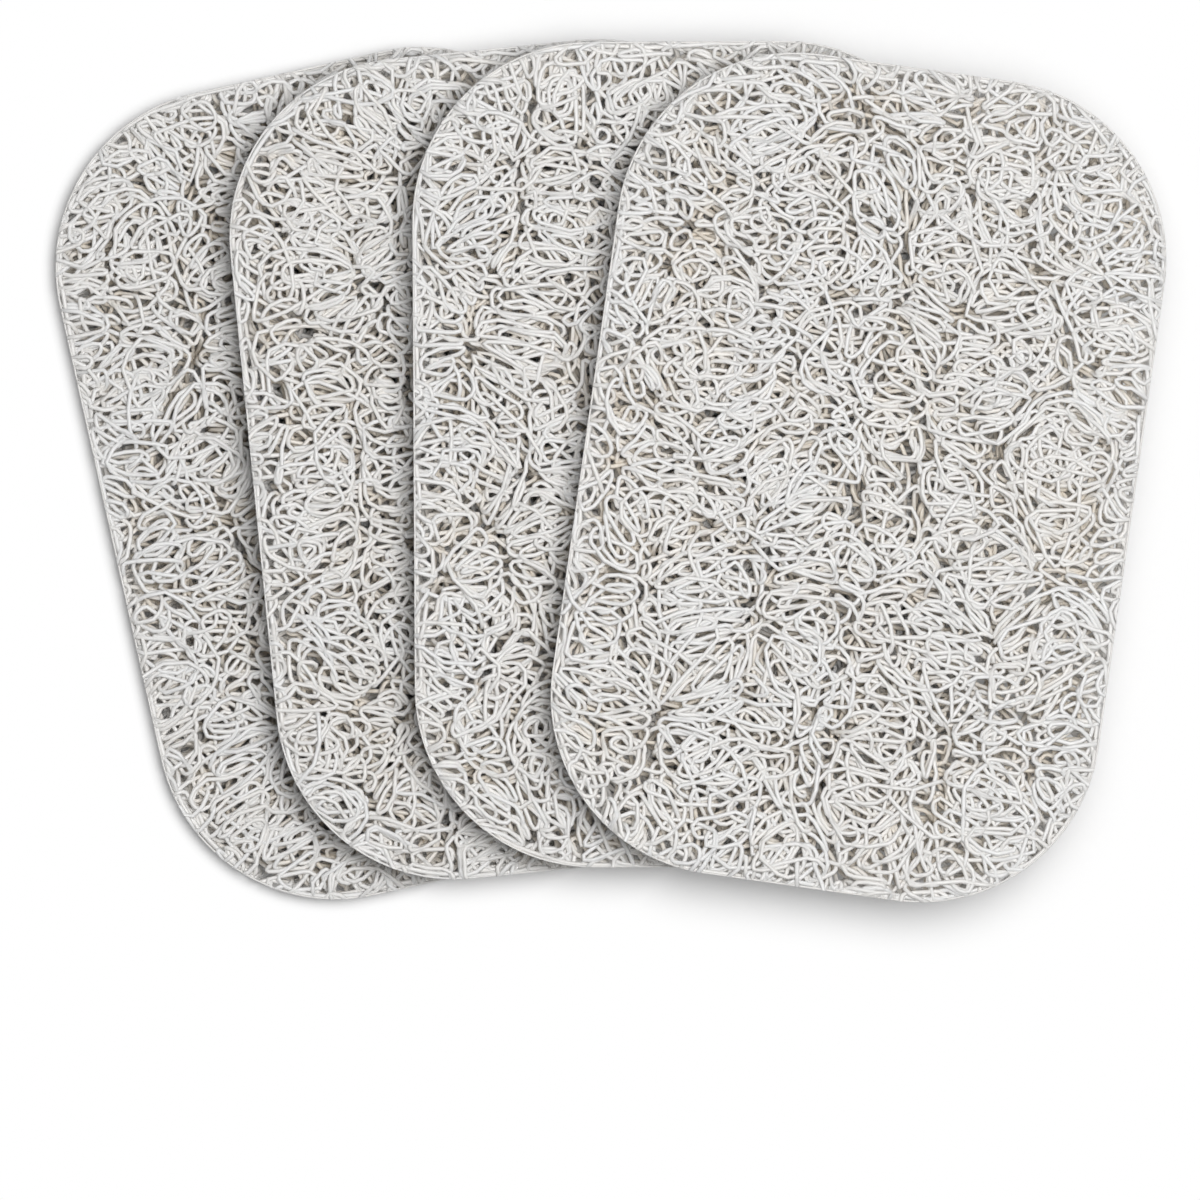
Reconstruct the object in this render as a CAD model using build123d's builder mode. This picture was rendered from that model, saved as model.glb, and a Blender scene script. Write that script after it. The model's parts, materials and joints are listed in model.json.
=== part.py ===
"""Soap saver pads: four identical die-cut pads of bonded filament mat, fanned out like cards.

Each pad is one piece: looped filament laid in two courses that are bonded wherever they cross,
so water drains through while the soap stays up in the air. The pads lie loose, each flat on the
one below. Origin: centre of the set's bounding box, on the surface that it lies on. +Z is up,
and the pads' long sides run roughly along Y.
"""
from build123d import *
import os
from math import cos, sin, pi, radians

# One pad (mm)
pad_width = 80.0
pad_length = 120.0
pad_thickness = 10.0
corner_radius = 26.0
lower_course_height = 5.0

# The web of looped strands (mm)
strand_width = 1.2            # the thinnest strand between two gaps
stray = 0.9                   # a strand is up to twice this wider where filaments bunch up
drift = 1.6                   # how far the rows of loops wander from a straight line
drift_wave = 37.0             # the distance in which they wander out and back

# The loops of each course: span along a row and pitch from row to row (mm), and the angle from
# the pad's width to the row (degrees)
upper_loop_span = 15.5
upper_loop_pitch = 10.4
upper_course_turn = 7.0
lower_loop_span = 13.6
lower_loop_pitch = 11.6
lower_course_turn = -58.0

# The fan: each pad's turn from upright (degrees, counter-clockwise) and its centre, measured
# from the centre of the lowest pad (mm)
fan = {
    "pad_1": (12.6, 0.0, 0.0),
    "pad_2": (5.7, 21.7, 2.0),
    "pad_3": (0.3, 45.3, 2.7),
    "pad_4": (-8.1, 69.9, -0.7),
}

# A loop's six corners, in half spans and in pitches, so that rows of them nest like honeycomb
loop_corners = ((1, 1 / 3), (0, 2 / 3), (-1, 1 / 3), (-1, -1 / 3), (0, -2 / 3), (1, -1 / 3))


def bunching(seed):
    """How far a corner sits inside its thinnest strand: repeatable, from 0 to stray."""
    return stray * (sin(12.9898 * seed) * 43758.5453 % 1)


def wander(x, y):
    """The point moved off its straight row; the pad's centre stays where it is."""
    return x + drift * sin(2 * pi * y / drift_wave), y + drift * sin(2 * pi * x / drift_wave)


def loop_gap(column, row, span, pitch, turn):
    """The corners of the gap inside one loop; three loops meet in a strand at the pad's centre."""
    corners = []
    for number, (side, end) in enumerate(loop_corners):
        seed = 6 * (97 * row + column) + number + turn
        narrower = strand_width / 2 + bunching(seed)
        shorter = strand_width * 2 / 3 + bunching(seed + 0.5)
        x = (column + row % 2 / 2) * span + side * (span / 2 - narrower)
        y = (row + 2 / 3) * pitch + end * (pitch - 1.5 * shorter)
        corners.append(Vector(*wander(x, y)).rotate(Axis.Z, turn))
    return corners


def is_on_pad(corners):
    """Whether any corner lies inside the pad's width and length."""
    return any(abs(corner.X) < pad_width / 2 and abs(corner.Y) < pad_length / 2 for corner in corners)


def course(span, pitch, turn):
    """One course of the web: the pad's outline less the gaps, which the outline cuts off."""
    rows = int(pad_length / pitch)
    columns = int(pad_length / span)
    loops = [loop_gap(column, row, span, pitch, turn)
             for row in range(-rows, rows + 1) for column in range(-columns, columns + 1)]
    gaps = [Polygon(*corners, align=None) for corners in loops if is_on_pad(corners)]
    with BuildSketch() as web:
        RectangleRounded(pad_width, pad_length, corner_radius)
        add(gaps, mode=Mode.SUBTRACT)
    return web.sketch


def reach(turn):
    """Half the width and half the length of the box round a pad turned by that angle."""
    lean, upright = abs(sin(radians(turn))), abs(cos(radians(turn)))
    straight_x = pad_width / 2 - corner_radius
    straight_y = pad_length / 2 - corner_radius
    return (straight_x * upright + straight_y * lean + corner_radius,
            straight_x * lean + straight_y * upright + corner_radius)


lower_course = course(lower_loop_span, lower_loop_pitch, lower_course_turn)
upper_course = course(upper_loop_span, upper_loop_pitch, upper_course_turn)

with BuildPart() as web:
    with BuildSketch(Plane.XY):
        add(lower_course)
    extrude(amount=lower_course_height)
    with BuildSketch(Plane.XY.offset(lower_course_height)):
        add(upper_course)
    extrude(amount=pad_thickness - lower_course_height)

left = min(x - reach(turn)[0] for turn, x, y in fan.values())
right = max(x + reach(turn)[0] for turn, x, y in fan.values())
front = min(y - reach(turn)[1] for turn, x, y in fan.values())
back = max(y + reach(turn)[1] for turn, x, y in fan.values())

os.makedirs("parts", exist_ok=True)
for level, (name, (turn, x, y)) in enumerate(fan.items()):
    place = Location((x - (left + right) / 2, y - (front + back) / 2, level * pad_thickness), (0, 0, turn))
    with BuildPart(Plane(place)) as pad:
        add(web.part, clean=False)
    pad.part.label = name
    export_step(pad.part, f"parts/{name}.step")
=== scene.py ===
"""Four die-cut pads of looped filament mat, fanned out like cards and seen from straight above.

Every pad is a web of coiled filaments in several courses. The filaments of the top and underside
courses lie pressed flat against the faces, and those of the core stand at all angles between
them. Each one is a curve that follows a wandering coil, is cut off where it meets the outline of
the die, and is turned into a round strand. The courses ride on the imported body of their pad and
replace its plain web.
"""
from __future__ import annotations

import json
import logging
import math
from dataclasses import dataclass
from enum import Enum

import bpy
import numpy as np
from mathutils import Matrix, Vector

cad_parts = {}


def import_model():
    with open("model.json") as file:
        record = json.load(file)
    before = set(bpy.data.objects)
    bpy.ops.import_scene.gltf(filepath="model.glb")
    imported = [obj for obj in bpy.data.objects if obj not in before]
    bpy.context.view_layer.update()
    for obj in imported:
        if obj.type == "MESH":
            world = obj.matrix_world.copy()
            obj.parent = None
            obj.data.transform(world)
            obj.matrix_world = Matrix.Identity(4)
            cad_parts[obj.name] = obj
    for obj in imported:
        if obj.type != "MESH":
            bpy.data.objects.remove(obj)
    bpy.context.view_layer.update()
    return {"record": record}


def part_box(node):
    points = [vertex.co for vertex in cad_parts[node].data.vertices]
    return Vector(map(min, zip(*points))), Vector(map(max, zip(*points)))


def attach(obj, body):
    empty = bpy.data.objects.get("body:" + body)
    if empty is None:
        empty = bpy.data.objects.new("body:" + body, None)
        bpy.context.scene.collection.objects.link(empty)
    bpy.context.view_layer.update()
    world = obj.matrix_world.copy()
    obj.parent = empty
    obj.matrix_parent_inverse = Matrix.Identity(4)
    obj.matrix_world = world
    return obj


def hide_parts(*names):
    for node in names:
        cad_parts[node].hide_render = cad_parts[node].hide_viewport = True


LOG = logging.getLogger("loop_mat")

MM = 0.001
PHOTO_WIDTH_PX = 1200
PHOTO_PX_PER_MM = 6.875


# ---------------------------------------------------------------------------------------------
# Shader expressions
# ---------------------------------------------------------------------------------------------


class Link:
    """A node's output socket that takes part in Python arithmetic."""

    def __init__(self, maker: "NodeMaker", socket: bpy.types.NodeSocket) -> None:
        """Wraps one output.

        Args:
            maker: The maker whose material holds the node.
            socket: The output socket.
        """
        self.maker = maker
        self.socket = socket

    def _math(self, operation: str, first: "Link | float", second: "Link | float") -> "Link":
        """Adds a Math node.

        Args:
            operation: The node's operation.
            first: Its first value.
            second: Its second value.

        Returns:
            The node's output.
        """
        return self.maker.node("ShaderNodeMath", {"operation": operation}, {0: first, 1: second})

    def __add__(self, other: "Link | float") -> "Link":
        """The sum."""
        return self._math("ADD", self, other)

    def __sub__(self, other: "Link | float") -> "Link":
        """The difference."""
        return self._math("SUBTRACT", self, other)

    def __mul__(self, other: "Link | float") -> "Link":
        """The product."""
        return self._math("MULTIPLY", self, other)

    def least(self, other: "Link") -> "Link":
        """The smaller of the two."""
        return self._math("MINIMUM", self, other)


class NodeMaker:
    """Makes the nodes of one material."""

    def __init__(self, name: str) -> None:
        """Starts a material with its output and a Principled shader.

        Args:
            name: The material's name.
        """
        self.material = bpy.data.materials.new(name)
        self.material.use_nodes = True
        self.tree = self.material.node_tree
        self.tree.nodes.clear()
        self.output = self.tree.nodes.new("ShaderNodeOutputMaterial")

    def node(self, kind: str, settings: dict[str, object], inputs: dict[int | str, object],
             output: int | str = 0) -> Link:
        """Adds a node.

        Args:
            kind: The node's type.
            settings: Its settings, made first; "stops" holds a ramp's (place, colour) pairs.
            inputs: A value or a Link for each named or numbered socket.
            output: The output to hand on.

        Returns:
            The chosen output.
        """
        made = self.tree.nodes.new(kind)
        for key, value in settings.items():
            if key == "stops":
                self._set_stops(made.color_ramp, value)
            else:
                setattr(made, key, value)
        for key, value in inputs.items():
            if isinstance(value, Link):
                self.tree.links.new(value.socket, made.inputs[key])
            else:
                made.inputs[key].default_value = value
        return Link(self, made.outputs[output])

    def vector(self, operation: str, first: object, second: object = (0.0, 0.0, 0.0)) -> Link:
        """Adds a Vector Math node.

        Args:
            operation: The node's operation.
            first: Its first vector.
            second: Its second vector.

        Returns:
            The result, a number for a length and otherwise a vector.
        """
        return self.node("ShaderNodeVectorMath", {"operation": operation}, {0: first, 1: second},
                         "Value" if operation == "LENGTH" else "Vector")

    @staticmethod
    def _set_stops(ramp: bpy.types.ColorRamp, stops: list[tuple[float, tuple[float, ...]]]) -> None:
        """Sets a ramp's stops.

        Args:
            ramp: The ramp, with its two first stops.
            stops: Place and colour of each stop, in order.
        """
        while len(ramp.elements) < len(stops):
            ramp.elements.new(1.0)
        for element, (place, colour) in zip(ramp.elements, stops):
            element.position = place
            element.color = (*colour, 1.0)

    def finish(self, shader: Link) -> bpy.types.Material:
        """Links the shader to the surface.

        Args:
            shader: The shader's output.

        Returns:
            The finished material.
        """
        self.tree.links.new(shader.socket, self.output.inputs["Surface"])
        return self.material


@dataclass(frozen=True)
class FilamentFinish:
    """Off-white soft PVC, semi-matte, with painted shade that makes it a little warmer and duller deep
    inside the mat.
    """

    name: str = "loop_filament_pvc"
    bright: tuple[float, float, float] = (0.846, 0.845, 0.841)
    # the duller colour, for strands that are duller at random and for the painted shade deep inside the
    # mat
    dull_and_shaded: tuple[float, float, float] = (0.840, 0.768, 0.668)
    clouds_per_m: float = 90.0
    clouding: float = 0.2         # how much duller the mat is in places
    glow: float = 0.3             # share of the light that passes through the strands,
    glow_mm: float = 1.0          # how far it goes in them,
    glow_tint: tuple[float, float, float] = (1.0, 1.0, 1.0)   # and how far by colour
    ior: float = 1.5
    roughness: float = 0.42
    unevenness: float = 0.16      # from the smoothest to the roughest grain
    grain_per_m: float = 2600.0
    detail: float = 2.0
    bump_mm: float = 0.02
    bump_strength: float = 0.5

    def make(self) -> bpy.types.Material:
        """Makes the material.

        Returns:
            The material.
        """
        maker = NodeMaker(self.name)
        place = maker.node("ShaderNodeTexCoord", {}, {}, "Object")
        # Each strand's own random tone, plus painted shade where it lies deep inside the mat.
        tone_and_painted_shade = maker.node("ShaderNodeAttribute", {"attribute_name": "tone_and_painted_shade"}, {}, "Fac")
        cloud = maker.node("ShaderNodeTexNoise", {},
                           {"Vector": place, "Scale": self.clouds_per_m, "Detail": self.detail})
        grain = maker.node("ShaderNodeTexNoise", {},
                           {"Vector": place, "Scale": self.grain_per_m, "Detail": self.detail})
        # Random duller clouds, added to the strand's tone and its painted shade.
        dullness_and_shade = tone_and_painted_shade + cloud * self.clouding - self.clouding / 2
        colour = maker.node("ShaderNodeValToRGB", {"stops": [(0.0, self.bright), (1.0, self.dull_and_shaded)]},
                            {"Fac": dullness_and_shade})
        roughness = grain * self.unevenness + (self.roughness - self.unevenness / 2)
        bump = maker.node("ShaderNodeBump", {}, {"Height": grain, "Distance": self.bump_mm * MM,
                                                 "Strength": self.bump_strength}, "Normal")
        shader = maker.node("ShaderNodeBsdfPrincipled", {},
                            {"Base Color": colour, "Roughness": roughness, "Normal": bump,
                             "IOR": self.ior, "Subsurface Weight": self.glow,
                             "Subsurface Scale": self.glow_mm * MM,
                             "Subsurface Radius": self.glow_tint})
        return maker.finish(shader)


# ---------------------------------------------------------------------------------------------
# The die and the filaments
# ---------------------------------------------------------------------------------------------


@dataclass(frozen=True)
class Die:
    """The cutter's outline: a rounded rectangle about the pad's centre, in mm."""

    width: float = 80.0
    length: float = 120.0
    corner_radius: float = 26.0
    corner_points: int = 24

    def outside(self, points: np.ndarray) -> np.ndarray:
        """How far points lie outside the outline; inside, the result is negative.

        Args:
            points: x and y of each point.

        Returns:
            One distance for each point.
        """
        corner = np.array([self.width / 2 - self.corner_radius, self.length / 2 - self.corner_radius])
        past = np.abs(points[:, :2]) - corner
        return (np.hypot(*np.maximum(past, 0.0).T) + np.minimum(past.max(axis=1), 0.0)
                - self.corner_radius)

    def outline(self, step: float) -> np.ndarray:
        """Walks round the outline.

        Args:
            step: The distance from point to point, in mm.

        Returns:
            x and y of each point, from the right side on and once round.
        """
        half_x, half_y = self.width / 2 - self.corner_radius, self.length / 2 - self.corner_radius
        corners = []
        for number, (x, y) in enumerate(((half_x, half_y), (-half_x, half_y),
                                         (-half_x, -half_y), (half_x, -half_y))):
            turns = np.linspace(0, math.pi / 2, self.corner_points) + number * math.pi / 2
            corners.append(np.c_[x + self.corner_radius * np.cos(turns),
                                 y + self.corner_radius * np.sin(turns)])
        line = np.vstack([*corners, corners[0][:1]])
        along = np.r_[0, np.cumsum(np.linalg.norm(np.diff(line, axis=0), axis=1))]
        places = np.arange(0.0, along[-1], step)
        return np.c_[np.interp(places, along, line[:, 0]), np.interp(places, along, line[:, 1])]

    def normal(self, points: np.ndarray) -> np.ndarray:
        """The outline's outward direction nearest to each point.

        Args:
            points: x and y of each point.

        Returns:
            A unit vector for each point, with no z.
        """
        step = 0.01
        across = self.outside(points + [step, 0.0]) - self.outside(points - [step, 0.0])
        along = self.outside(points + [0.0, step]) - self.outside(points - [0.0, step])
        out = np.stack([across, along, np.zeros(len(points))], axis=1)
        return out / np.linalg.norm(out, axis=1, keepdims=True)

    def cut(self, path: np.ndarray, shortest: float) -> list[np.ndarray]:
        """Cuts a path into the runs that lie inside the outline.

        Args:
            path: The path's points, in mm.
            shortest: Runs of fewer mm than this fall away.

        Returns:
            The runs, each ending on the outline where it was cut.
        """
        out = self.outside(path[:, :2])
        inside = out < 0.0
        runs = []
        edges = np.flatnonzero(np.diff(inside.astype(int)))
        starts = np.r_[0, edges + 1]
        ends = np.r_[edges, len(path) - 1]
        for start, end in zip(starts, ends):
            if not inside[start]:
                continue
            run = path[start:end + 1]
            if start > 0:
                share = out[start] / (out[start] - out[start - 1])
                run = np.vstack([path[start] + share * (path[start - 1] - path[start]), run])
            if end < len(path) - 1:
                share = out[end] / (out[end] - out[end + 1])
                run = np.vstack([run, path[end] + share * (path[end + 1] - path[end])])
            if np.linalg.norm(np.diff(run, axis=0), axis=1).sum() > shortest:
                runs.append(run)
        return runs


class Course(Enum):
    """A course of the web, with what its strands measure, in mm and degrees.

    Each holds: strands side by side, the length of filament in each, the height of their middle,
    how far they rise and fall from it, the way that their loops lie, from the pad's width, and
    the share of the outline that has a strand pressed along it.
    """

    LOWER = (12, 840.0, 2.0, 1.8, 35.0, 0.85)
    UNDERSIDE = (13, 900.0, 0.9, 0.9, 0.0, 0.65)
    CORE = (10, 1100.0, 5.0, 4.4, -50.0, 0.4)
    UPPER = (12, 830.0, 8.0, 1.8, -28.0, 0.85)
    TOP = (13, 900.0, 9.0, 0.9, 4.0, 0.65)

    def __init__(self, lanes: int, filament: float, height: float, swing: float, lie: float,
                 edge_share: float) -> None:
        """Keeps the course's sizes.

        Args:
            lanes: Strands side by side.
            filament: Length of filament in each.
            height: Height of their middle.
            swing: Rise and fall from it.
            lie: The way that the loops lie.
            edge_share: The share of the outline that has a strand along it.
        """
        self.lanes = lanes
        self.filament = filament
        self.height = height
        self.swing = swing
        self.lie = lie
        self.edge_share = edge_share


@dataclass
class Flow:
    """The way that loops lie at each place of a pad, which neighbouring strands share."""

    rng: np.random.Generator
    waves: int = 5
    shortest: float = 24.0        # mm from crest to crest
    longest: float = 50.0
    turn: float = 12.0            # degrees that each wave turns the loops

    def __post_init__(self) -> None:
        """Draws the waves."""
        ways = self.rng.uniform(0, 2 * math.pi, self.waves)
        steps = 2 * math.pi / self.rng.uniform(self.shortest, self.longest, self.waves)
        starts = self.rng.uniform(0, 2 * math.pi, self.waves)
        self.crests = list(zip((np.cos(ways) * steps).tolist(), (np.sin(ways) * steps).tolist(),
                               starts.tolist()))

    def at(self, x: float, y: float) -> float:
        """The loops' turn at a place.

        Args:
            x: The place along the pad's width, in mm.
            y: The place along its length.

        Returns:
            The turn in radians.
        """
        return math.radians(self.turn) * sum(math.sin(a * x + b * y + c) for a, b, c in self.crests)


def smooth_random(rng: np.random.Generator, places: np.ndarray, knot_gap: float,
                  low: float, high: float) -> np.ndarray:
    """A random value that changes smoothly from knot to knot.

    Args:
        rng: The source of the knots' values.
        places: Where the value is wanted, from 0 up.
        knot_gap: The distance between knots.
        low: The least value at a knot.
        high: The greatest value at a knot.

    Returns:
        One value for each place.
    """
    count = int(places.max() / knot_gap) + 3
    knots = rng.uniform(low, high, count)
    index = np.minimum((places / knot_gap).astype(int), count - 2)
    share = places / knot_gap - index
    share = share * share * (3 - 2 * share)
    return knots[index] * (1 - share) + knots[index + 1] * share


@dataclass
class Habits:
    """What one strand tends to do at each place along it, at even steps."""

    bend: list[float]             # how sharply it bends, in radians for each mm
    drawn: list[float]            # how far its loops are drawn out, from 0 where they are round
    lean: list[float]             # the way that they lie, in radians
    hand: list[float]             # 1 where they turn left, and -1 where they turn right
    goal_x: list[float]           # the middle of its lane, in mm
    goal_y: list[float]
    height: np.ndarray            # its height before the loops' tilt, in mm
    roll: list[float]             # the side of the loops that lies on top, in radians


@dataclass(frozen=True)
class Filament:
    """One extruded strand and the loops that it falls in, in mm."""

    diameter: float = 0.68
    tightest: float = 0.75        # least radius of a bend
    shortest_loop: float = 8.0    # length of filament in a loop
    longest_loop: float = 22.0
    slimmest: float = 3.2         # length of a loop by its width
    roundest: float = 1.0
    temper: float = 20.0          # length over which loops change their size and shape
    kink_gap: float = 5.0         # length over which the bend is uneven, and by how much
    kink: float = 0.2
    stray: float = 45.0           # degrees that a loop may lie away from the others
    reversals: float = 0.06       # share of the loops that turn the other way
    memory: float = 14.0          # length over which the strand is drawn to its lane
    wander_gap: float = 60.0      # length over which the lane wanders sideways, and how far,
    wander: float = 0.8           # by the lanes' spacing
    hitch_gap: float = 55.0       # length over which the belt runs unevenly, and by how much
    hitch: float = 2.5
    ripple_gap: float = 4.0       # lengths over which the strand rises and falls
    swell_gap: float = 19.0
    roll_gap: float = 40.0        # length over which another side of the loops lies on top
    shyness: float = 0.2          # how far a strand may stay from the faces
    tilt: float = 0.7             # how far a loop's one side lies over its other, by the swing
    overrun: float = 9.0          # the lanes reach this far outside the die's ends,
    side_overrun: float = 3.0     # and this far outside its sides
    scrap: float = 2.0            # cut pieces shorter than this fall out
    edge_gap: float = 0.02        # what the cutter leaves outside a strand along the outline
    edge_inset: float = 0.6       # how far such a strand strays inwards,
    edge_snug: float = 0.4        # how firmly it is held from straying,
    edge_stray_gap: float = 6.0   # and over what length
    edge_wave: float = 11.0       # length over which it rises and falls
    edge_length: float = 22.0     # its mean length,
    edge_spread: tuple[float, float] = (0.4, 1.6)   # and its least and greatest, by the mean
    edge_step: float = 1.4
    edge_close: int = 8           # how late the outline's end turns to the height of its start
    bead: float = 0.28            # the thin bead that the hot cutter left along both faces,
    bead_rise: float = 0.3        # how far it lies over the strands along the outline,
    bead_depth: float = 0.3       # and how far below its face at least
    facet: float = 0.53           # a ring of the strand for each of these radians of bend,
    least_step: float = 0.45      # but no closer than this
    longest_step: float = 2.0     # and no farther apart
    scale: float = 0.25           # how finely the strand's habits are laid out
    press: int = 8                # how sharply a strand flattens where it reaches a face

    def habits(self, rng: np.random.Generator, die: Die, course: Course, lane: int) -> Habits:
        """Draws up how a strand bends, leans, wanders and rises along its lane.

        Args:
            rng: The source of its irregularity.
            die: The outline that the lanes have to cover.
            course: The course that the strand is in.
            lane: The lane's number, from the side.

        Returns:
            The strand's habits, at steps of the filament's scale.
        """
        travel = die.length + 2 * self.overrun
        width = die.width + 2 * self.side_overrun
        spacing = width / course.lanes
        places = np.arange(0.0, course.filament + self.longest_step + self.scale, self.scale)
        loop = np.exp(smooth_random(rng, places, self.temper, math.log(self.shortest_loop),
                                    math.log(self.longest_loop)))
        slim = np.exp(smooth_random(rng, places, self.temper, math.log(self.roundest),
                                    math.log(self.slimmest)))
        drawn = (slim ** 3 - 1) / (slim ** 3 + 1)
        kinks = smooth_random(rng, places, self.kink_gap, 1 - self.kink, 1 + self.kink)
        bend = kinks * 2 * math.pi / (loop * np.sqrt(1 - drawn ** 2))
        stray = math.radians(self.stray)
        lean = math.radians(course.lie) + smooth_random(rng, places, self.temper, -stray, stray)
        flips = rng.random(len(places)) < self.reversals * self.scale / self.shortest_loop
        hand = np.where(np.cumsum(flips) % 2, -1.0, 1.0) * rng.choice([-1.0, 1.0])
        goal_x = ((lane + 0.5) * spacing - width / 2
                  + smooth_random(rng, places, self.wander_gap, -self.wander, self.wander) * spacing)
        # A slim loop takes more filament to get as far along the lane as a round one.
        pace = np.sqrt(1 + slim ** -2) / loop
        goal_y = ((np.cumsum(pace) / pace.sum() - 0.5) * travel
                  + smooth_random(rng, places, self.hitch_gap, -self.hitch, self.hitch))
        height = (course.height
                  + smooth_random(rng, places, self.ripple_gap, -0.5, 0.5) * course.swing
                  + smooth_random(rng, places, self.swell_gap, -0.5, 0.5) * course.swing)
        roll = smooth_random(rng, places, self.roll_gap, 0.0, 2 * math.pi)
        return Habits(bend.tolist(), drawn.tolist(), lean.tolist(), hand.tolist(),
                      goal_x.tolist(), goal_y.tolist(), height, roll.tolist())

    def path(self, rng: np.random.Generator, flow: Flow, die: Die, thickness: float,
             course: Course, lane: int) -> np.ndarray:
        """Lays a filament down its lane in loops, as it falls on a moving belt.

        Args:
            rng: The source of its irregularity.
            flow: The way that the loops lie.
            die: The outline that the lanes have to cover.
            thickness: The mat's thickness.
            course: The course that the strand is in.
            lane: The lane's number, from the side.

        Returns:
            The points of the strand's middle.
        """
        habits = self.habits(rng, die, course, lane)
        x, y = habits.goal_x[0], habits.goal_y[0]
        mean_x, mean_y = x, y
        heading = rng.uniform(0, 2 * math.pi)
        laid = 0.0
        points, marks, tilts = [], [], []
        while laid < course.filament:
            at = int(laid / self.scale)
            lie = habits.lean[at] + flow.at(x, y)
            # A drawn-out loop bends least along its sides and most at its two ends.
            curve = min(habits.bend[at] * (1 - habits.drawn[at] * math.cos(2 * (heading - lie))),
                        1 / self.tightest)
            step = min(max(self.facet / curve, self.least_step), self.longest_step)
            heading += habits.hand[at] * curve * step
            pull = step / self.memory
            x += math.cos(heading) * step + (habits.goal_x[at] - mean_x) * pull
            y += math.sin(heading) * step + (habits.goal_y[at] - mean_y) * pull
            mean_x += (x - mean_x) * pull
            mean_y += (y - mean_y) * pull
            points.append((x, y))
            tilts.append(math.sin(heading + habits.roll[at]))
            marks.append(at)
            laid += step
        risen = habits.height[marks] + np.array(tilts) * self.tilt * course.swing
        shy = rng.uniform(0.0, self.shyness)
        return np.c_[np.array(points), self.pressed(risen, thickness, shy)]

    def edge(self, rng: np.random.Generator, die: Die, thickness: float,
             course: Course) -> tuple[list[np.ndarray], list[np.ndarray]]:
        """Lays what runs along the outline: pressed strands, and on the faces a bead over them.

        Args:
            rng: The source of their irregularity.
            die: The outline.
            thickness: The mat's thickness.
            course: The course that they are in.

        Returns:
            The points of each strand, and those of the bead, a closed loop, if there is one.
        """
        outline = die.outline(self.edge_step)
        normal = die.normal(outline)[:, :2]
        places = np.arange(len(outline)) * self.edge_step
        stray = smooth_random(rng, places, self.edge_stray_gap, -self.edge_snug, self.edge_inset)
        inset = self.diameter / 2 + self.edge_gap + stray.clip(0)
        height = course.height + smooth_random(rng, places, self.edge_wave, -0.5, 0.5) * course.swing
        height += (height[0] - height[-1]) * (places / places[-1]) ** self.edge_close
        strand = np.c_[outline - normal * inset[:, None], self.pressed(height, thickness, 0.0)]
        mean_gap = self.edge_length * (1 / course.edge_share - 1)
        runs, first = [], 0
        while first < len(strand):
            last = first + int(rng.uniform(*self.edge_spread) * self.edge_length / self.edge_step)
            runs.append(strand[first:last])
            first = last + int(rng.uniform(*self.edge_spread) * mean_gap / self.edge_step) + 1
        runs = [run for run in runs if len(run) * self.edge_step > self.scrap]
        rises = {Course.TOP: self.bead_rise, Course.UNDERSIDE: -self.bead_rise}
        if course not in rises:
            return runs, []
        rim = (strand[:, 2] + rises[course]).clip(self.bead_depth, thickness - self.bead_depth)
        return runs, [np.c_[outline - normal * self.bead / 2, rim]]

    def pressed(self, height: np.ndarray, thickness: float, shy: float) -> np.ndarray:
        """Heights pressed between the mat's two faces.

        Args:
            height: The heights of a free strand.
            thickness: The mat's thickness.
            shy: How far this strand stays from the faces.

        Returns:
            The pressed heights.
        """
        half = (thickness - self.diameter) / 2 - shy
        share = (height - thickness / 2) / half
        return thickness / 2 + half * share / (1 + np.abs(share) ** self.press) ** (1 / self.press)


@dataclass(frozen=True)
class Spreader:
    """Evens out a course, as strands slide off thick places into thin ones before they set."""

    cell: float = 1.5             # mm
    margin: float = 18.0          # the filament is counted this far outside the die
    blurs: tuple[int, ...] = (7, 7, 6, 6, 5, 5, 4, 4, 4, 3, 3, 3, 3, 3)   # for each round
    slide: float = 2.8            # mm2 for each round

    def even_out(self, paths: list[np.ndarray], die: Die) -> list[np.ndarray]:
        """Moves the strands of a course until they cover the pad evenly.

        Args:
            paths: The points of each strand.
            die: The outline that the pad is cut to.

        Returns:
            The moved points of each strand.
        """
        ends = np.cumsum([len(path) for path in paths])[:-1]
        points = np.vstack(paths)
        lengths = np.concatenate([np.r_[np.linalg.norm(np.diff(path[:, :2], axis=0), axis=1), 0.0]
                                  for path in paths])
        half = np.array([die.width, die.length]) / 2 + self.margin
        cells = (2 * half / self.cell).astype(int) + 1
        across = np.abs(np.arange(cells[0]) * self.cell - half[0])
        beside = np.broadcast_to((across > die.width / 2)[:, None], cells)
        for blur in self.blurs:
            laid, _, _ = np.histogram2d(points[:, 0], points[:, 1], bins=cells, weights=lengths,
                                        range=[[-half[0], half[0]], [-half[1], half[1]]])
            mean = laid[~beside].mean()
            laid[beside] = mean
            for _ in range(blur):
                padded = np.pad(laid, 1, mode="edge")
                laid = (padded[:-2, 1:-1] + padded[2:, 1:-1] + padded[1:-1, :-2] + padded[1:-1, 2:]
                        + 2 * padded[1:-1, 1:-1]) / 6
            slopes = np.stack(np.gradient(laid, self.cell), axis=-1)
            points[:, :2] -= self.slide * self.sample(slopes, points[:, :2] + half) / mean
        return np.split(points, ends)

    def sample(self, grid: np.ndarray, places: np.ndarray) -> np.ndarray:
        """Reads a grid of vectors between its cells.

        Args:
            grid: A vector for each cell.
            places: x and y from the grid's corner, in mm.

        Returns:
            A vector for each place.
        """
        just_over_a_cell = 1.001
        index = np.clip(places / self.cell - 0.5, 0.0, np.array(grid.shape[:2]) - just_over_a_cell)
        low = index.astype(int)
        share = (index - low)[:, :, None]
        x, y = low.T
        near = grid[x, y] * (1 - share[:, 0]) + grid[x + 1, y] * share[:, 0]
        far = grid[x, y + 1] * (1 - share[:, 0]) + grid[x + 1, y + 1] * share[:, 0]
        return near * (1 - share[:, 1]) + far * share[:, 1]


# ---------------------------------------------------------------------------------------------
# The pads
# ---------------------------------------------------------------------------------------------


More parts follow.
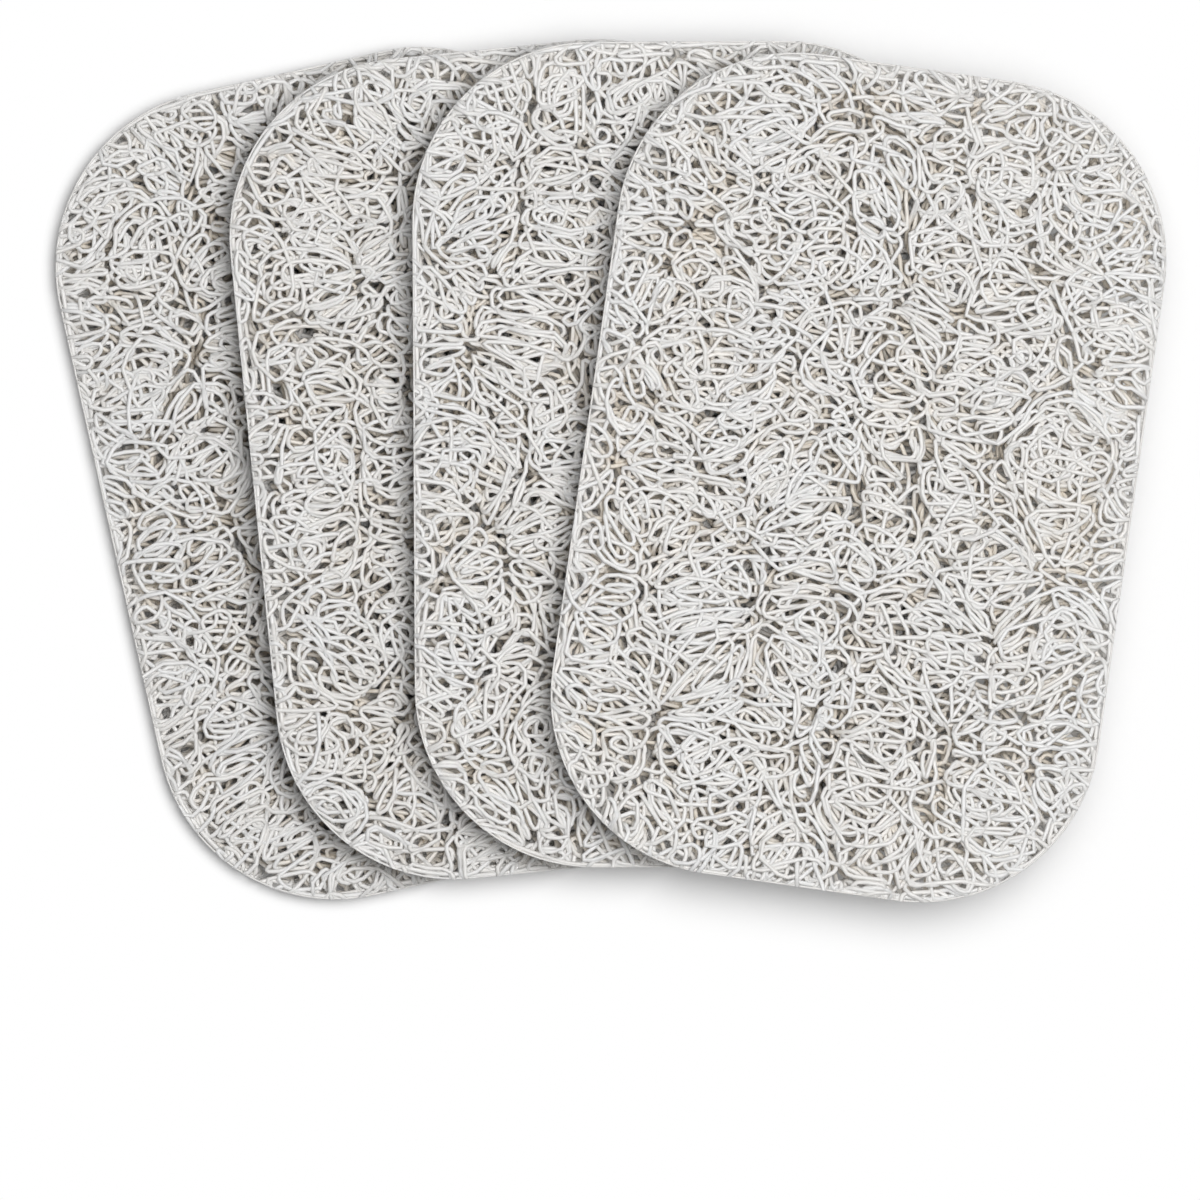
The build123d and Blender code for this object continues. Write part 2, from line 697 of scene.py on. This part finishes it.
@dataclass
class Pad:
    """One pad: its courses of filament, cut by the die and laid where the frame has the pad."""

    name: str
    turn_deg: float
    seed: int
    finish: bpy.types.Material
    slot: str
    die: Die = Die()
    filament: Filament = Filament()
    sides: int = 6                # of a strand, an even number from 4 up
    own_tone: float = 0.25        # how much duller one strand may be than the next
    painted_shade_from: float = 1.3        # mm below a face where the painted shade begins to make strands duller,
    painted_shade_over: float = 2.2        # over how many more mm, and over how many from the outline
    painted_shade_inwards: float = 4.0

    def centre(self) -> Vector:
        """The middle of the pad's underside, in metres."""
        low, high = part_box(self.name)
        return Vector(((low.x + high.x) / 2, (low.y + high.y) / 2, low.z))

    def build(self) -> list[bpy.types.Object]:
        """Makes the pad's courses.

        Returns:
            A piece for each course.
        """
        return [self.make_course(course) for course in Course]

    def make_course(self, course: Course) -> bpy.types.Object:
        """Makes one course as a piece of its own.

        Args:
            course: The course.

        Returns:
            The finished piece, riding on the pad's body.
        """
        low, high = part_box(self.name)
        thickness = (high.z - low.z) / MM
        rng = np.random.default_rng(self.seed * 10 + list(Course).index(course))
        flow = Flow(np.random.default_rng(self.seed))
        paths = [self.filament.path(rng, flow, self.die, thickness, course, lane)
                 for lane in range(course.lanes)]
        runs = [run for path in Spreader().even_out(paths, self.die)
                for run in self.die.cut(path, self.filament.scrap)]
        pressed, beads = self.filament.edge(rng, self.die, thickness, course)
        runs += pressed
        piece = self.strands(f"{self.name}_{course.name.lower()}_loops", runs, beads)
        self.trim_ends(piece.data, runs)
        self.add_tones_and_painted_shade(piece.data, runs + beads, rng, thickness)
        self.close_ends(piece)
        place = (Matrix.Translation(self.centre())
                 @ Matrix.Rotation(math.radians(self.turn_deg), 4, "Z") @ Matrix.Scale(MM, 4))
        piece.data.transform(place)
        piece.data.materials.clear()
        piece.data.materials.append(self.finish)
        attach(piece, self.name)
        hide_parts(self.name)
        return piece

    def strands(self, name: str, runs: list[np.ndarray],
                beads: list[np.ndarray]) -> bpy.types.Object:
        """Turns the runs into round strands.

        Args:
            name: The piece's name.
            runs: The points of each run, in mm about the pad's centre.
            beads: The points of each closed bead, whose rings come after those of the runs.

        Returns:
            A mesh object with one ring of vertices for each point.
        """
        bpy.ops.object.select_all(action="DESELECT")
        bpy.ops.curve.primitive_nurbs_path_add(location=(0, 0, 0))
        piece = bpy.context.object
        piece.name = name
        curve = piece.data
        curve.splines.clear()
        for run in runs + beads:
            spline = curve.splines.new("POLY")
            spline.points.add(len(run) - 1)
            spline.points.foreach_set("co", np.c_[run, np.ones(len(run))].ravel())
        for spline in curve.splines[len(runs):]:
            spline.use_cyclic_u = True
            for point in spline.points:
                point.radius = self.filament.bead / self.filament.diameter
        curve.dimensions = "3D"
        curve.bevel_depth = self.filament.diameter / 2
        curve.bevel_resolution = (self.sides - 4) // 2
        bpy.ops.object.convert(target="MESH")
        piece = bpy.context.object
        piece.data.name = name
        return piece

    @staticmethod
    def close_ends(piece: bpy.types.Object) -> None:
        """Caps the cut ends of the strands and smooths their sides.

        Args:
            piece: The strands, which are open tubes so far; not used.
        """
        bpy.ops.object.shade_smooth()
        bpy.ops.object.mode_set(mode="EDIT")
        bpy.ops.mesh.select_all(action="SELECT")
        bpy.ops.mesh.fill_holes(sides=0)
        bpy.ops.object.mode_set(mode="OBJECT")

    def trim_ends(self, mesh: bpy.types.Mesh, runs: list[np.ndarray]) -> None:
        """Slides the end rings of each cut run onto the die's face, as the cutter leaves them.

        Args:
            mesh: The strands' mesh, in mm about the pad's centre.
            runs: The runs that it was made from.
        """
        points = np.zeros(len(mesh.vertices) * 3)
        mesh.vertices.foreach_get("co", points)
        rings = points.reshape(-1, self.sides, 3)
        close, flattest = self.filament.diameter / 4, 0.3
        first = 0
        for run in runs:
            for ring, end, inner in ((first, run[0], run[1]), (first + len(run) - 1, run[-1], run[-2])):
                if self.die.outside(end[None, :2])[0] < -close:
                    continue
                out = self.die.normal(end[None, :2])[0]
                ahead = (end - inner) / np.linalg.norm(end - inner)
                steep = max(float(out @ ahead), flattest)
                rings[ring] -= ahead * (((rings[ring] - end) @ out) / steep)[:, None]
            first += len(run)
        flat = rings.reshape(-1, 3)
        over = np.maximum(self.die.outside(flat[:, :2]), 0.0)
        flat -= self.die.normal(flat[:, :2]) * over[:, None]
        mesh.vertices.foreach_set("co", flat.ravel())
        mesh.update()

    def add_tones_and_painted_shade(self, mesh: bpy.types.Mesh, runs: list[np.ndarray], rng: np.random.Generator,
                  thickness: float) -> None:
        """Gives each run its own off-white, and paints shade that makes it duller where it lies deep
        inside the mat.

        Args:
            mesh: The strands' mesh.
            runs: The runs that it was made from.
            rng: The source of the tones.
            thickness: The mat's thickness.
        """
        points = np.vstack(runs)
        # Painted shade: strands deep below the faces and away from the outline turn duller, as the
        # mat's pockets lie in shade.
        depth = np.minimum(points[:, 2], thickness - points[:, 2])
        inwards = -self.die.outside(points[:, :2])
        painted_depth_shade = (((depth - self.painted_shade_from) / self.painted_shade_over).clip(0, 1)
                  * (inwards / self.painted_shade_inwards).clip(0, 1))
        own = np.concatenate([np.full(len(run), rng.uniform(0.0, self.own_tone)) for run in runs])
        layer = mesh.attributes.new("tone_and_painted_shade", "FLOAT", "POINT")
        layer.data.foreach_set("value", np.repeat(own + painted_depth_shade, self.sides).astype(np.float32))


@dataclass
class Fan:
    """The four pads, from the lowest on the left to the highest on the right."""

    finish: bpy.types.Material
    slot: str
    turns_deg: tuple[float, ...] = (12.6, 5.7, 0.3, -8.1)
    first_seed: int = 41

    def __post_init__(self) -> None:
        """Lays out the pads."""
        self.pads = [Pad(f"pad_{number}", turn, self.first_seed + number, self.finish, self.slot)
                     for number, turn in enumerate(self.turns_deg, start=1)]

    def build(self) -> None:
        """Makes every pad and reports its pieces."""
        for pad in self.pads:
            for piece in pad.build():
                LOG.info("%s: %d triangles", piece.name,
                         sum(len(face.vertices) - 2 for face in piece.data.polygons))


# ---------------------------------------------------------------------------------------------
# The table, lamps and camera
# ---------------------------------------------------------------------------------------------


@dataclass(frozen=True)
class TableFinish:
    """The plain white table: pale grey to the pads, and white to the camera.

    Close to the pads the camera sees their shadow on it, which fades to plain white past them.
    """

    name: str = "white_table"
    seen: float = 1.0             # how bright it is to the camera,
    lit: float = 0.80             # and to the light that it throws back at the pads
    fade_start: float = -0.05     # distance from a pad's outline where its shadow begins to fade,
    fade_end: float = 0.24        # and where it is gone, by the height of the pad's top

    def make(self, fan: "Fan") -> bpy.types.Material:
        """Makes the material.

        Args:
            fan: The pads that lie on the table.

        Returns:
            The material.
        """
        maker = NodeMaker(self.name)
        seen = maker.node("ShaderNodeLightPath", {}, {}, "Is Camera Ray")
        shade = maker.node("ShaderNodeValToRGB",
                           {"stops": [(0.0, (self.lit,) * 3), (1.0, (self.seen,) * 3)]},
                           {"Fac": seen})
        fade = maker.node("ShaderNodeMapRange", {"interpolation_type": "SMOOTHSTEP"},
                          {"Value": self.clearance(maker, fan),
                           "From Min": self.fade_start, "From Max": self.fade_end})
        surface = maker.node("ShaderNodeBsdfDiffuse", {}, {"Color": shade})
        white = maker.node("ShaderNodeEmission", {}, {"Strength": self.seen})
        return maker.finish(maker.node("ShaderNodeMixShader", {},
                                       {0: fade * seen, 1: surface, 2: white}))

    @staticmethod
    def clearance(maker: NodeMaker, fan: "Fan") -> Link:
        """Measures how far a place on the table lies out of the pads' shadow.

        Args:
            maker: The table's nodes.
            fan: The pads.

        Returns:
            The least distance from a pad's outline, by the height of that pad's top.
        """
        place = maker.node("ShaderNodeTexCoord", {}, {}, "Object")
        nearest = None
        for pad in fan.pads:
            corner = Vector((pad.die.width / 2, pad.die.length / 2, 0.0)) * MM
            corner -= Vector((pad.die.corner_radius, pad.die.corner_radius, 0.0)) * MM
            centre, turn = pad.centre(), math.radians(pad.turn_deg)
            on_pad = maker.node("ShaderNodeVectorRotate", {"rotation_type": "Z_AXIS"},
                                {"Vector": place, "Center": (centre.x, centre.y, 0.0), "Angle": -turn})
            off_centre = maker.vector("SUBTRACT", on_pad, (centre.x, centre.y, 0.0))
            past_corner = maker.vector("SUBTRACT", maker.vector("ABSOLUTE", off_centre), corner)
            past_corner = maker.vector("MAXIMUM", past_corner, (0.0, 0.0, 0.0))
            clear = maker.vector("LENGTH", past_corner) - pad.die.corner_radius * MM
            clear = clear * (1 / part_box(pad.name)[1].z)
            nearest = clear if nearest is None else nearest.least(clear)
        return nearest


@dataclass
class Studio:
    """A white table under soft light, and a camera that looks straight down."""

    table_size: float = 8.0
    key_place: tuple[float, float, float] = (0.18, 0.07, 1.2)
    key_size: float = 0.42
    key_watts: float = 11.1
    fill_place: tuple[float, float, float] = (0.5, 1.0, 0.9)
    fill_size: float = 1.4
    fill_watts: float = 1.6
    sky: float = 0.22
    lens_mm: float = 900.0
    sensor_mm: float = 36.0
    clip_m: float = 20.0
    centre_x_mm: float = -1.33    # what lies in the middle of the picture,
    centre_y_mm: float = -18.95
    focus_mm: float = 25.0        # and the height where a pad has the photograph's size

    def build(self, fan: Fan) -> None:
        """Makes the table, the lamps, the sky and the camera.

        Args:
            fan: The pads that lie on the table.
        """
        self.make_table(fan)
        self.make_lamp("overhead_softbox", self.key_place, self.key_size, self.key_watts)
        self.make_lamp("back_softbox", self.fill_place, self.fill_size, self.fill_watts)
        self.make_sky()
        self.make_camera()

    def make_table(self, fan: Fan) -> None:
        """Makes the table top.

        Args:
            fan: The pads that lie on it.
        """
        bpy.ops.object.select_all(action="DESELECT")
        bpy.ops.mesh.primitive_plane_add(size=self.table_size, location=(0, 0, 0))
        table = bpy.context.object
        table.name = "table_top"
        table.data.materials.append(TableFinish().make(fan))

    def make_lamp(self, name: str, place: tuple[float, float, float], size: float,
                  watts: float) -> None:
        """Makes a soft lamp that points at the pads.

        Args:
            name: The lamp's name.
            place: Where it hangs, in metres.
            size: Its width, in metres.
            watts: Its power.
        """
        bpy.ops.object.light_add(type="AREA", location=place)
        lamp = bpy.context.object
        lamp.name = name
        lamp.data.size = size
        lamp.data.energy = watts
        lamp.rotation_euler = (-Vector(place)).to_track_quat("-Z", "Y").to_euler()

    def make_sky(self) -> None:
        """Lights the scene evenly from all round."""
        world = bpy.data.worlds.new("even_sky")
        world.use_nodes = True
        sky = world.node_tree.nodes["Background"]
        sky.inputs["Color"].default_value = (1.0, 1.0, 1.0, 1.0)
        sky.inputs["Strength"].default_value = self.sky
        bpy.context.scene.world = world

    def make_camera(self) -> None:
        """Looks straight down, from so far that high and low pads look the same size."""
        field_mm = PHOTO_WIDTH_PX / PHOTO_PX_PER_MM
        height = (self.lens_mm * field_mm / self.sensor_mm + self.focus_mm) * MM
        bpy.ops.object.camera_add(location=(self.centre_x_mm * MM, self.centre_y_mm * MM, height))
        camera = bpy.context.object
        camera.name = "overhead_camera"
        camera.rotation_euler = (0.0, 0.0, 0.0)
        camera.data.lens = self.lens_mm
        camera.data.sensor_width = self.sensor_mm
        camera.data.clip_end = self.clip_m
        bpy.context.scene.camera = camera


def main() -> None:
    """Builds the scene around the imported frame."""
    logging.basicConfig(level=logging.INFO, format="%(name)s: %(message)s")
    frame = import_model()
    bpy.context.scene.view_settings.view_transform = "Standard"
    fan = Fan(FilamentFinish().make(), frame["record"]["materials"][0]["slot"])
    Studio().build(fan)
    fan.build()


if __name__ == "__main__":
    main()
